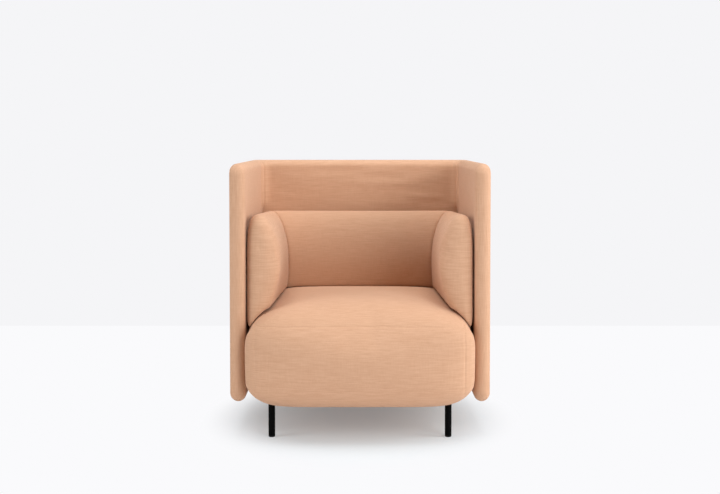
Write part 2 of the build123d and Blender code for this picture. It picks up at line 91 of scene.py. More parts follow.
def mesh_object(name, vertices, faces):
    """A new object with these vertices (n, 3) and faces, smooth shaded, at the origin."""
    mesh = bpy.data.meshes.new(name)
    mesh.from_pydata(np.asarray(vertices, float).tolist(), [], [list(face) for face in faces])
    mesh.update()
    shade_smooth(mesh)
    piece = bpy.data.objects.new(name, mesh)
    bpy.context.scene.collection.objects.link(piece)
    return piece


def loop_grid(name, points):
    """Closed mesh through points (stations, loop, 3): quads join station i to i + 1 and loop
    point j to j + 1, the loop closes on itself, and a polygon caps each end."""
    stations, around, _ = points.shape
    index = np.arange(stations * around).reshape(stations, around)
    turned = np.roll(index, -1, axis=1)
    quads = np.stack([index[:-1], turned[:-1], turned[1:], index[1:]], axis=-1).reshape(-1, 4)
    faces = quads.tolist() + [index[0].tolist(), index[-1].tolist()]
    piece = mesh_object(name, points.reshape(-1, 3), faces)
    tidy_faces(piece)
    return piece


def tidy_faces(piece, reach=0.02 * MM):
    """Merges points closer than reach and turns the faces outwards."""
    work = bmesh.new()
    work.from_mesh(piece.data)
    bmesh.ops.remove_doubles(work, verts=work.verts, dist=reach)
    bmesh.ops.recalc_face_normals(work, faces=work.faces)
    work.to_mesh(piece.data)
    work.free()
    shade_smooth(piece.data)


def points_of(piece):
    """The piece's vertices as an array (n, 3)."""
    flat = np.empty(len(piece.data.vertices) * 3)
    piece.data.vertices.foreach_get("co", flat)
    return flat.reshape(-1, 3)


def move_points(piece, points):
    """Puts an array (n, 3) back into the piece's vertices."""
    piece.data.vertices.foreach_set("co", np.ascontiguousarray(points, float).ravel())
    piece.data.update()


# %% [markdown]
# Stuffed cloth is tight: air pressure or foam pushes it out until the weave holds it. The
# cloth solver does just that. The mesh is first remade from even voxels, so that it
# stretches evenly, then inflated for twenty frames without gravity. What is nailed or
# pressed against a neighbour is pinned, and no point may move further than a cap.

# %% Inflate a closed mesh with the cloth solver
FRAMES = 20
PIN_LEVELS = (0.35, 0.7, 1.0)


def even_mesh(piece, voxel):
    """Rebuilds the mesh from cubes of this size, so that its faces are about equal."""
    remesh = piece.modifiers.new("even", "REMESH")
    remesh.mode = "VOXEL"
    remesh.voxel_size = voxel
    apply_modifiers(piece)


def apply_modifiers(piece):
    """Bakes the piece's modifiers into its mesh."""
    graph = bpy.context.evaluated_depsgraph_get()
    graph.update()
    mesh = bpy.data.meshes.new_from_object(piece.evaluated_get(graph))
    old = piece.data
    piece.modifiers.clear()
    piece.data = mesh
    bpy.data.meshes.remove(old)
    shade_smooth(mesh)


def neighbours(piece):
    """Edge ends as two index arrays."""
    flat = np.empty(len(piece.data.edges) * 2, np.int32)
    piece.data.edges.foreach_get("vertices", flat)
    return flat[0::2], flat[1::2]


def relaxed(piece, points, rounds, share=0.5):
    """Each point moved a share of the way to the mean of its neighbours, a number of times."""
    first, second = neighbours(piece)
    count = np.bincount(first, minlength=len(points)) + np.bincount(second, minlength=len(points))
    count = np.maximum(count, 1)[:, None]
    for _ in range(rounds):
        total = np.zeros_like(points)
        np.add.at(total, first, points[second])
        np.add.at(total, second, points[first])
        points = points + share * (total / count - points)
    return points


def inflate(piece, held, pressure, cap):
    """Cloth under pressure from inside: points where held is 1 stay, and none moves past cap."""
    start = points_of(piece)
    group = piece.vertex_groups.new(name="held")
    for level in PIN_LEVELS:
        group.add(np.flatnonzero(held >= level).tolist(), level, "REPLACE")
    cloth = piece.modifiers.new("stuffing", "CLOTH")
    settings = cloth.settings
    settings.quality = 6
    settings.mass = 0.4
    settings.tension_stiffness = 18
    settings.compression_stiffness = 18
    settings.shear_stiffness = 8
    settings.bending_stiffness = 0.6
    settings.air_damping = 2
    settings.use_pressure = True
    settings.uniform_pressure_force = pressure
    settings.vertex_group_mass = group.name
    settings.effector_weights.gravity = 0
    cloth.collision_settings.use_collision = False
    scene = bpy.context.scene
    for step in range(1, FRAMES + 1):
        scene.frame_set(step)
    graph = bpy.context.evaluated_depsgraph_get()
    result = piece.evaluated_get(graph)
    flat = np.empty(len(start) * 3)
    result.data.vertices.foreach_get("co", flat)
    piece.modifiers.clear()
    piece.vertex_groups.clear()
    scene.frame_set(1)
    shift = flat.reshape(-1, 3) - start
    length = np.linalg.norm(shift, axis=1, keepdims=True)
    shift = shift * (cap * np.tanh(length / cap) / np.maximum(length, 1e-9))
    print(piece.name, "points", len(start), "most moved mm", round(float(length.max()) / MM, 1))
    return start + shift


# %% [markdown]
# The seat is a big cushion block. Seen from above it is a superellipse, a shape between an
# ellipse and a rectangle. Its side profile rises from the flat underside round a large lower
# edge, bulges a little, and rolls over into a crowned top. The profile is carried round the
# plan outline, drawing in towards the middle at the top and bottom.

# %% Seat shape
SEAT_HALF_X = (seat_high[0] - seat_low[0]) / 2 - 1 * MM
SEAT_HALF_Y = (seat_high[1] - seat_low[1]) / 2 - 2 * MM
SEAT_POWER = 7.0
POLE_SHARE = 0.02
SEAT_TOP_ROUND = 108 * MM
SEAT_BOTTOM_ROUND = 88 * MM
SEAT_CROWN = 13 * MM
SEAT_BOTTOM = seat_low[2]
SEAT_TOP = seat_high[2] - 9 * MM
SHELL_FRONT = side_low[1]


def superellipse(angle, power):
    """Unit curve |x|^p + |y|^p = 1 at these angles, as two arrays."""
    c, s = np.cos(angle), np.sin(angle)
    return np.sign(c) * np.abs(c) ** (2 / power), np.sign(s) * np.abs(s) ** (2 / power)


def seat_top_height(share):
    """Height of the seat's top where the plan is drawn in to this share of its outline."""
    inset = np.clip((1 - share) * SEAT_HALF_X, 0, SEAT_TOP_ROUND)
    roll = np.sqrt(np.maximum(SEAT_TOP_ROUND**2 - (SEAT_TOP_ROUND - inset) ** 2, 0))
    flat_share = 1 - SEAT_TOP_ROUND / SEAT_HALF_X
    crown = SEAT_CROWN * (1 - np.clip(share / flat_share, 0, 1) ** 2)
    return SEAT_TOP - SEAT_CROWN - SEAT_TOP_ROUND + roll + crown


def seat_plan_share(x, y):
    """1 on the seat's plan outline and 0 at its middle."""
    side = np.abs(x / SEAT_HALF_X) ** SEAT_POWER
    end = np.abs((y - SEAT_MIDDLE_Y) / SEAT_HALF_Y) ** SEAT_POWER
    return (side + end) ** (1 / SEAT_POWER)


def seat_surface():
    """Grid (height stations, plan loop, 3): the plan superellipse scaled by a share that runs
    from 0 under the middle to 1 at the side and back to 0 on top."""
    turn = np.linspace(0, np.pi / 2, 14)
    lower_share = 1 - SEAT_BOTTOM_ROUND / SEAT_HALF_X * (1 - np.sin(turn))
    lower_height = SEAT_BOTTOM + SEAT_BOTTOM_ROUND * (1 - np.cos(turn))
    upper_share = 1 - SEAT_TOP_ROUND / SEAT_HALF_X * (1 - np.cos(turn))
    under = np.linspace(POLE_SHARE, lower_share[0], 10)[:-1]
    inner = np.linspace(upper_share[-1], POLE_SHARE, 16)[1:]
    share = np.concatenate([under, lower_share, upper_share, inner])
    top = seat_top_height(np.concatenate([upper_share, inner]))
    height = np.concatenate([np.full(len(under), SEAT_BOTTOM), lower_height, top])
    around = np.linspace(0, 2 * np.pi, 160, endpoint=False)
    x, y = superellipse(around, SEAT_POWER)
    grid = np.empty((len(share), len(around), 3))
    grid[:, :, 0] = SEAT_HALF_X * np.outer(share, x)
    grid[:, :, 1] = SEAT_MIDDLE_Y + SEAT_HALF_Y * np.outer(share, y)
    grid[:, :, 2] = height[:, None]
    return grid


# %% [markdown]
# The seat's cover is sewn to size and pulled over foam, so it bulges where nothing holds it
# and stays flat where the panels squeeze it. The sides are first pushed out in front of the
# panels. Then the cloth solver puffs the whole block, held along its underside.

# %% Make the seat cushion
SEAT_VOXEL = 10.5 * MM
SEAT_PRESSURE = 4.0
SEAT_CAP = 24 * MM
SEAT_ROUNDS = 6
SEAT_SPREAD = 20 * MM
SEAT_BULGE = 24 * MM
BULGE_HEIGHT = 280 * MM
BULGE_REACH = 230 * MM


def smooth_step(low, high, value):
    """0 below low, 1 above high, and a smooth rise between."""
    t = np.clip((value - low) / (high - low), 0, 1)
    return t * t * (3 - 2 * t)


def seat_held(points):
    """1 where the seat is nailed under its frame, squeezed by the panels or under a cushion."""
    x, y, z = points.T
    under = 1 - smooth_step(SEAT_BOTTOM + 4 * MM, SEAT_BOTTOM + 60 * MM, z)
    squeezed = smooth_step(SHELL_FRONT - 25 * MM, SHELL_FRONT + 15 * MM, y)
    squeezed = squeezed * smooth_step(0.80 * CUSHION_OUTER, 0.92 * CUSHION_OUTER, np.abs(x))
    covered = smooth_step(0.55, 0.8, (y - SEAT_MIDDLE_Y) / SEAT_HALF_Y)
    return np.maximum.reduce([under, squeezed, covered])


def bulged(grid):
    """The seat's sides pushed out just in front of the panels that squeeze it further back."""
    free = 1 - smooth_step(SHELL_FRONT - 26 * MM, SHELL_FRONT - 2 * MM, grid[..., 1])
    side = smooth_step(0.55, 1.0, np.abs(grid[..., 0]) / SEAT_HALF_X)
    level = np.clip(1 - ((grid[..., 2] - BULGE_HEIGHT) / BULGE_REACH) ** 2, 0, 1)
    pushed = grid.copy()
    pushed[..., 0] = grid[..., 0] + np.sign(grid[..., 0]) * SEAT_BULGE * free * side * level
    return pushed


seat = loop_grid("seat_cushion", bulged(seat_surface()))
even_mesh(seat, SEAT_VOXEL)
seat_points = inflate(seat, seat_held(points_of(seat)), SEAT_PRESSURE, SEAT_CAP)
seat_points = relaxed(seat, seat_points, SEAT_ROUNDS)
between = smooth_step(SHELL_FRONT - 4 * MM, SHELL_FRONT + 10 * MM, seat_points[:, 1])
limit = CUSHION_OUTER + (1 - between) * SEAT_SPREAD
seat_points[:, 0] = np.clip(seat_points[:, 0], -limit, limit)
seat_points[:, 1] = np.minimum(seat_points[:, 1], seat_high[1])
seat_points[:, 2] = np.maximum(seat_points[:, 2], SEAT_BOTTOM)
move_points(seat, seat_points)
finer = seat.modifiers.new("finer", "SUBSURF")
finer.levels = finer.render_levels = 1
apply_modifiers(seat)

# %% [markdown]
# Seams are sewn after the stuffing. A plane cuts three edge rows into the mesh, and the points
# near the middle row are drawn in, which leaves a narrow valley like a stitched joint.

# %% Sew the seat's seams
SIDE_SEAM_X = 335 * MM
SIDE_SEAM_HALF = 6 * MM
SIDE_SEAM_DEPTH = 1.4 * MM
FRONT_SEAM_Z = 376 * MM
FRONT_SEAM_HALF = 5 * MM
FRONT_SEAM_DEPTH = 1.3 * MM
FACES_FRONT = -0.25
LOWER_ROLL_TOP = 140 * MM


def sew(piece, axis, level, half_width, depth, where):
    """A valley along the plane where this axis has this level, on the points where asks for."""
    work = bmesh.new()
    work.from_mesh(piece.data)
    normal = Vector((axis == 0, axis == 1, axis == 2))
    for offset in (-half_width, 0, half_width):
        geometry = work.verts[:] + work.edges[:] + work.faces[:]
        place = normal * (level + offset)
        bmesh.ops.bisect_plane(work, geom=geometry, dist=1e-6, plane_co=place, plane_no=normal)
    work.normal_update()
    chosen = [v for v in work.verts if abs(v.co[axis] - level) < half_width and where(v)]
    shares = [1 - abs(v.co[axis] - level) / half_width for v in chosen]
    shifts = [-depth * share**1.5 * v.normal for v, share in zip(chosen, shares)]
    for vertex, shift in zip(chosen, shifts):
        vertex.co += shift
    work.to_mesh(piece.data)
    work.free()
    print(piece.name, "seam at", round(level, 3), "points", len(chosen))


def on_front(vertex):
    """True on the seat's front above its lower roll."""
    return vertex.normal.y < FACES_FRONT and vertex.co.z > LOWER_ROLL_TOP


def between_seams(vertex):
    """True on the seat's front between the two upright seams."""
    return vertex.normal.y < FACES_FRONT and abs(vertex.co.x) < SIDE_SEAM_X


for level in (SIDE_SEAM_X, -SIDE_SEAM_X):
    sew(seat, 0, level, SIDE_SEAM_HALF, SIDE_SEAM_DEPTH, on_front)
sew(seat, 2, FRONT_SEAM_Z, FRONT_SEAM_HALF, FRONT_SEAM_DEPTH, between_seams)
shade_smooth(seat.data)
print("seat box", seat_points.min(0).round(4), seat_points.max(0).round(4))


# %% [markdown]
# The arm and back cushions are bolsters with one section. Four quarter superellipses make it:
# a square heel against the shell, a round shoulder on top and a full belly that tucks
# under towards the seat. The section is carried along the bolster to a mitre at the corner.

# %% Bolster section
FULLEST = 538 * MM
BACK_TOP = CUSHION_TOP - 7 * MM
BOLSTER_TOE = CUSHION_TOE - 18 * MM
SHOULDER_POWER = 1.8
HEEL_TOP_POWER = 3.4
HEEL_LOW_POWER = 7.0
PUFF_ROOM = 2 * MM
SEAT_GAP = 1 * MM
MITRE_GAP = 0.3 * MM
MITRE = BACK_THICKNESS / ARM_THICKNESS


def bolster_section(thickness, middle, tuck_power, count=96):
    """Loop of depth from the shell and height: four quarter curves about (middle, FULLEST).
    The smaller tuck_power is, the more the lower front quarter draws in."""
    angle = np.linspace(0, 2 * np.pi, count, endpoint=False)
    c, s = np.cos(angle), np.sin(angle)
    above = np.where(c >= 0, SHOULDER_POWER, HEEL_TOP_POWER)
    below = np.where(c >= 0, tuck_power, HEEL_LOW_POWER)
    power = np.where(s >= 0, above, below)
    across = np.where(c >= 0, thickness - middle, middle)
    up = np.where(s >= 0, BACK_TOP - FULLEST, FULLEST - BOLSTER_TOE)
    depth = middle + across * np.sign(c) * np.abs(c) ** (2 / power)
    height = FULLEST + up * np.sign(s) * np.abs(s) ** (2 / power)
    return depth, height


def seat_clearance(points, gap):
    """Points lifted clear of the seat's top where the seat is under them."""
    share = seat_plan_share(points[..., 0], points[..., 1])
    floor = np.where(share < 1, seat_top_height(share) + gap, BOLSTER_TOE)
    lifted = points.copy()
    lifted[..., 2] = np.maximum(points[..., 2], floor)
    return lifted


# %% [markdown]
# An arm runs from a domed front end back to the mitre. It could be a straight extrusion, but
# a real arm cushion stands a little higher at the front and draws in above the seat, so both
# changes grow from nothing at the mitre. The end is cut slanting to meet the back cushion.

# %% Arm shape
ARM_MIDDLE = 0.40 * ARM_THICKNESS
ARM_TUCK_POWER = 2.9
ARM_RISE = 26 * MM
ARM_TUCK = 46 * MM
ARM_FRONT = arm_low[1]
ARM_FRONT_ROUND = 46 * MM
ARM_DOME = 4 * MM
ARM_PIVOT = 0.34


def arm_surface(side):
    """Grid for one arm: the section grows out of a domed front end, runs back, and ends where
    the mitre reaches it, which is further back the nearer the point is to the shell."""
    depth, height = bolster_section(ARM_THICKNESS - PUFF_ROOM, ARM_MIDDLE, ARM_TUCK_POWER)
    pivot = ARM_PIVOT * ARM_THICKNESS
    turn = np.linspace(0, np.pi / 2, 12)
    cap_share = np.linspace(0.05, 1, 6)[:-1]
    shrink = ARM_FRONT_ROUND * (1 - np.sin(turn))
    across = 1 - shrink / (ARM_THICKNESS / 2)
    across = np.concatenate([cap_share * across[0], across])
    tall = 1 - shrink / (BACK_TOP - BOLSTER_TOE)
    tall = np.concatenate([cap_share * tall[0], tall])
    start = ARM_FRONT + ARM_FRONT_ROUND * (1 - np.cos(turn))
    dome = ARM_FRONT - ARM_DOME * (1 - cap_share**2)
    front_y = np.concatenate([dome, start])
    end_y = CUSHION_REAR - depth * MITRE
    run = np.linspace(0, 1, 50)[1:]
    grown = len(front_y)
    grid = np.empty((grown + len(run), len(depth), 3))
    grid[:grown, :, 0] = pivot + np.outer(across, depth - pivot)
    grid[:grown, :, 1] = front_y[:, None]
    grid[:grown, :, 2] = BOLSTER_TOE + np.outer(tall, height - BOLSTER_TOE)
    grid[grown:, :, 0] = depth
    grid[grown:, :, 1] = front_y[-1] + np.outer(run, end_y - front_y[-1])
    grid[grown:, :, 2] = height
    forward = np.clip((end_y - grid[:, :, 1]) / (end_y - ARM_FRONT), 0, 1)
    upper = np.clip((grid[:, :, 2] - FULLEST) / (BACK_TOP - FULLEST), 0, 1)
    lower = np.clip((FULLEST - grid[:, :, 2]) / (FULLEST - BOLSTER_TOE), 0, 1)
    grid[:, :, 0] -= ARM_TUCK * forward * lower * grid[:, :, 0] / ARM_THICKNESS
    grid[:, :, 2] += ARM_RISE * forward * upper
    grid[:, :, 0] = side * (CUSHION_OUTER - grid[:, :, 0])
    return seat_clearance(grid, arm_gap(grid))


def arm_gap(points):
    """Room under an arm: it sits on the seat, but its front lower corner rolls up."""
    behind = np.clip(points[..., 1] - ARM_FRONT, 0, ARM_FRONT_ROUND)
    roll = ARM_FRONT_ROUND - np.sqrt(ARM_FRONT_ROUND**2 - (ARM_FRONT_ROUND - behind) ** 2)
    inner = smooth_step(0.35, 0.75, (CUSHION_OUTER - np.abs(points[..., 0])) / ARM_THICKNESS)
    return SEAT_GAP + roll * inner


def mitre_distance(points):
    """How far in front of the mitre plane a point of an arm lies, measured along Y."""
    depth = CUSHION_OUTER - np.abs(points[:, 0])
    return CUSHION_REAR - depth * MITRE - points[:, 1]


print("arm front", ARM_FRONT, "mitre slope", round(MITRE, 3))

# %% [markdown]
# A bolster is stuffed in four steps: even mesh, pressure, a little smoothing, and a trim that
# keeps it off its neighbours. What touches the shell, the mitre or the seat is held.

# %% Stuff the arm cushions
CUSHION_VOXEL = 6 * MM
CUSHION_PRESSURE = 3.0
CUSHION_CAP = 14 * MM
CUSHION_ROUNDS = 4
HOLD = 10 * MM


def stuff_cushion(piece, held, keep_in):
    """Remesh, inflate, relax and trim one bolster."""
    even_mesh(piece, CUSHION_VOXEL)
    points = points_of(piece)
    points = inflate(piece, held(points), CUSHION_PRESSURE, CUSHION_CAP)
    points = keep_in(relaxed(piece, points, CUSHION_ROUNDS))
    move_points(piece, points)
    print(piece.name, "box", points.min(0).round(4), points.max(0).round(4))


def held_near(points, *distances):
    """1 where a point is close to something that holds it, or to the seat below it."""
    share = np.minimum(seat_plan_share(points[:, 0], points[:, 1]), 1)
    above_seat = points[:, 2] - seat_top_height(share)
    return np.maximum.reduce(
        [1 - smooth_step(HOLD, 3 * HOLD, distance) for distance in (*distances, above_seat)]
    )


def arm_held(points):
    """1 against the shell, at the mitre and where the arm sits on the seat."""
    return held_near(points, CUSHION_OUTER - np.abs(points[:, 0]), mitre_distance(points))


def arm_kept(points):
    """Trims an arm to the shell, the mitre plane and the seat."""
    kept = seat_clearance(points, arm_gap(points))
    kept[:, 0] = np.clip(kept[:, 0], -CUSHION_OUTER, CUSHION_OUTER)
    kept[:, 1] = kept[:, 1] + np.minimum(mitre_distance(kept) - MITRE_GAP, 0)
    return kept


arms = {}
for side, sign in (("right", 1), ("left", -1)):
    arms[side] = loop_grid(f"{side}_arm_cushion", arm_surface(sign))
    stuff_cushion(arms[side], arm_held, arm_kept)

# %% [markdown]
# The back cushion is the same bolster run across the chair, with a slanting end on each side.
# Both ends stop a hair before the mitre planes, which leaves the sewn line between the
# cushions as a fine dark joint.

# %% Back cushion
BACK_MIDDLE = 0.36 * BACK_THICKNESS
BACK_TUCK_POWER = 2.1


def back_surface():
    """Grid for the back: the same kind of section run from mitre to mitre along X."""
    depth, height = bolster_section(BACK_THICKNESS - PUFF_ROOM, BACK_MIDDLE, BACK_TUCK_POWER)
    end_x = CUSHION_OUTER - depth / MITRE
    run = np.linspace(-1, 1, 100)
    grid = np.empty((len(run), len(depth), 3))
    grid[:, :, 0] = np.outer(run, end_x)
    grid[:, :, 1] = CUSHION_REAR - depth
    grid[:, :, 2] = height
    return seat_clearance(grid, SEAT_GAP)


def back_mitre_distance(points):
    """How far inside the nearer mitre plane a point of the back lies, measured along X."""
    depth = CUSHION_REAR - points[:, 1]
    return CUSHION_OUTER - depth / MITRE - np.abs(points[:, 0])


def back_held(points):
    """1 against the shell, at both mitres and where the back sits on the seat."""
    return held_near(points, CUSHION_REAR - points[:, 1], back_mitre_distance(points))


def back_kept(points):
    """Trims the back to the shell, the mitre planes and the seat."""
    kept = seat_clearance(points, SEAT_GAP)
    kept[:, 1] = np.minimum(kept[:, 1], CUSHION_REAR)
    room = np.minimum(back_mitre_distance(kept) - MITRE_GAP, 0)
    kept[:, 0] = kept[:, 0] + np.sign(kept[:, 0]) * room
    return kept


back_cushion = loop_grid("back_cushion", back_surface())
stuff_cushion(back_cushion, back_held, back_kept)

# %% [markdown]
# The shell is three padded boards under one tight cover that wraps round the corners, with a
# sewn seam in each inner corner. Its section is a stadium: two flat faces joined by half
# circles at the top and bottom. The section is carried along a U in plan. At the two front
# ends it thins to nothing along a half circle, which rounds the edge over, and shortens along
# a larger arc, which rounds the corners.

# %% Shell path and section
SHELL_HALF = (side_high[0] - side_low[0]) / 2
SHELL_CORNER = 40 * MM
TURN_RADIUS = SHELL_HALF + 4 * MM
SEAM_OFFSET = 9 * MM
SHELL_SIDE = (side_high[0] + side_low[0]) / 2
SHELL_REAR = (shell_high[1] + shell_low[1]) / 2
SHELL_MIDDLE = (side_high[2] + side_low[2]) / 2
SHELL_TALL = side_high[2] - side_low[2]


def end_arc(distance, radius):
    """Rise of a quarter circle of this radius at a distance from its start: 0 to radius."""
    inside = np.clip(distance, 0, radius)
    return np.sqrt(np.maximum(radius**2 - (radius - inside) ** 2, 0))


def shell_path(step=9 * MM):
    """Stations along the shell's plan: down the right wing, round the corner, across the back
    and up the left wing. Gives places (n, 2), outward normals (n, 2), the distance of each
    from the nearer end, and the distance at which the back's flat face begins."""
    wing = SHELL_REAR - TURN_RADIUS - SHELL_FRONT
    turn = TURN_RADIUS * np.pi / 2
    across = 2 * (SHELL_SIDE - TURN_RADIUS)
    near = SHELL_HALF * (1 - np.cos(np.linspace(0, np.pi / 2, 12)))
    knots = np.cumsum([0, wing, turn, across / 2])
    edge = np.arange(SHELL_HALF + step / 4, SHELL_HALF + 2 * step, step / 4)
    face = np.arange(SHELL_HALF + 2 * step, knots[1] - 3 * step, step)
    inner = np.linspace(knots[1] - 3 * step, knots[1], 19)[:-1]
    plain = np.concatenate([near, edge, face, inner, np.linspace(knots[1], knots[2], 25)])
    seam = knots[2] + np.linspace(0, 2 * SEAM_OFFSET, 15)[1:]
    half = np.concatenate([plain, seam, np.linspace(seam[-1], knots[3], 40)[1:]])
    whole = np.concatenate([half, 2 * knots[3] - half[-2::-1]])
    run = np.minimum(whole, 2 * knots[3] - whole)
    angle = np.clip((run - knots[1]) / turn, 0, 1) * np.pi / 2
    x = SHELL_SIDE - TURN_RADIUS + TURN_RADIUS * np.cos(angle)
    x = x - np.maximum(run - knots[2], 0)
    y = SHELL_FRONT + np.minimum(run, knots[1]) + TURN_RADIUS * np.sin(angle)
    mirror = np.where(whole > knots[3], -1, 1)
    places = np.stack([mirror * x, y], -1)
    normals = np.stack([mirror * np.cos(angle), np.sin(angle)], -1)
    return places, normals, run, knots[2] + SEAM_OFFSET


def stadium(half_thickness, half_height, straight=84, turn=14):
    """Loop of thickness and height for many stations at once: up the outer face, over the top
    along a half ellipse, down the inner face and back under."""
    up = np.linspace(-1, 1, straight)
    over = np.linspace(0, np.pi, turn + 2)[1:-1]
    body = half_height - half_thickness
    top_w = np.outer(half_thickness, np.cos(over))
    top_h = body[:, None] + np.outer(half_thickness, np.sin(over))
    face_h = np.outer(body, up)
    face_w = np.outer(half_thickness, np.ones(straight))
    width = np.concatenate([face_w, top_w, -face_w, -top_w], axis=1)
    height = np.concatenate([face_h, top_h, -face_h, -top_h], axis=1)
    return width, height


# %% [markdown]
# Cloth pulled over a wide board is never quite flat, so the back's inner face gets long
# shallow waves. Above the cushions the inner corners are eased into a curve with the seam on it.

# %% Make the shell
WRINKLE = 1.1 * MM
WAVES_BEGIN = 20 * MM
WAVES_FULL = 90 * MM
CORNER_EASE = 38 * MM
EASE_BEGIN = CUSHION_TOP - 20 * MM
EASE_FULL = CUSHION_TOP + 25 * MM
SEAM_DEPTH = 2.6 * MM
SEAM_HALF = 3.5 * MM
CREASE_DEPTH = 1.6 * MM
CREASE_HALF = 5 * MM


def wrinkles(along, height):
    """Long shallow waves of cloth that is pulled sideways over a wide board."""
    drift = 0.35 * np.sin(7.0 * along + 1.3) + 0.2 * np.sin(17.0 * along)
    fold = np.sin(95 * height + 3.0 * drift) + 0.6 * np.sin(163 * height - 4.2 * drift + 1.1)
    return WRINKLE * fold * (0.55 + 0.45 * np.sin(9.0 * along + 22 * height))


def eased_corner(grid, inward):
    """The inner corners rounded above the cushions. Inward is a point's distance from the path,
    and u and v are its distances from the wing's and the back's surface there. Then (u, v) goes
    onto a quarter circle of CORNER_EASE with a seam on its diagonal."""
    u = SHELL_SIDE - inward - np.abs(grid[..., 0])
    v = SHELL_REAR - inward - grid[..., 1]
    ahead = (v - u) / CORNER_EASE
    angle = np.pi / 4 * (1 - np.clip(ahead, -1, 1))
    from_seam = CORNER_EASE * (angle - np.pi / 4)
    radius = CORNER_EASE + SEAM_DEPTH * np.exp(-((from_seam / SEAM_HALF) ** 2))
    free = smooth_step(EASE_BEGIN, EASE_FULL, grid[..., 2])
    share = np.where(np.abs(ahead) < 1, free * inward / SHELL_HALF, 0)
    eased = grid.copy()
    new_u = CORNER_EASE - radius * np.cos(angle)
    new_v = CORNER_EASE - radius * np.sin(angle)
    eased[..., 0] -= np.sign(grid[..., 0]) * share * (new_u - u)
    eased[..., 1] -= share * (new_v - v)
    return eased


def shell_surface():
    """Grid of the wrapped shell: place + outward normal times thickness, at each height.
    A groove draws the cloth in just behind the front edges."""
    places, normals, run, back_from = shell_path()
    half = np.where(run < SHELL_HALF, end_arc(run, SHELL_HALF), SHELL_HALF)
    drop = SHELL_CORNER - np.where(run < SHELL_CORNER, end_arc(run, SHELL_CORNER), SHELL_CORNER)
    width, height = stadium(half, SHELL_TALL / 2 - drop)
    groove = CREASE_DEPTH * np.exp(-(((run - SHELL_HALF) / CREASE_HALF) ** 2))
    inward = np.maximum(-width, 0)
    on_back = smooth_step(back_from + WAVES_BEGIN, back_from + WAVES_FULL, run)[:, None]
    wave = wrinkles(places[:, 0][:, None], height) * on_back
    width = np.where(width < 0, width + groove[:, None] + wave, width - groove[:, None])
    grid = np.empty(width.shape + (3,))
    grid[..., 0] = places[:, 0][:, None] + normals[:, 0][:, None] * width
    grid[..., 1] = places[:, 1][:, None] + normals[:, 1][:, None] * width
    grid[..., 2] = SHELL_MIDDLE + height
    return eased_corner(grid, inward)


shell = loop_grid("shell", shell_surface())
shell_points = points_of(shell)
print("shell box", shell_points.min(0).round(4), shell_points.max(0).round(4))

# %% [markdown]
# A thin black cloth closes the seat frame from below. It is tacked round its edge and hangs a
# few millimetres lower in the middle, so two layers of a rounded rectangle are enough.

# %% Dust cover
DUST_SAG = 4 * MM
DUST_POWER = 9.0


def dust_sheet():
    """Thin cloth under the frame that hangs a little lower in the middle: two layers of a
    rounded rectangle drawn in to its middle."""
    half_x = (dust_high[0] - dust_low[0]) / 2
    half_y = (dust_high[1] - dust_low[1]) / 2
    centre_y = (dust_high[1] + dust_low[1]) / 2
    outwards = np.linspace(POLE_SHARE, 1, 24)
    share = np.concatenate([outwards, np.linspace(1, POLE_SHARE, 24)])
    layer = np.repeat([dust_low[2], dust_high[2]], len(outwards))
    x, y = superellipse(np.linspace(0, 2 * np.pi, 120, endpoint=False), DUST_POWER)
    grid = np.empty((len(share), len(x), 3))
    grid[:, :, 0] = half_x * np.outer(share, x)
    grid[:, :, 1] = centre_y + half_y * np.outer(share, y)
    grid[:, :, 2] = (layer - DUST_SAG * (1 - share**2))[:, None]
    return grid


dust_cover = loop_grid("dust_cover_cloth", dust_sheet())
print("dust cover points", len(dust_cover.data.vertices))

# %% [markdown]
# The cloth is a plain weave of slightly uneven yarn. From a step away one sees slubs: short
# thicker stretches of yarn that make thin darker and lighter dashes along the thread. A noise
# stretched along one axis gives them. Close up, two crossing sine waves give the threads.

# %% Node group for the weave
SLUB_SHARE = 0.72
CROSS_SHARE = 0.28
THREAD_SHARE = 0.12
LEVEL_FROM = 0.6
LEVEL_FULL = 0.8


def group_node(tree, kind, **values):
    """A new node with some of its properties set."""
    node = tree.nodes.new(kind)
    for name, value in values.items():
        setattr(node, name, value)
    return node


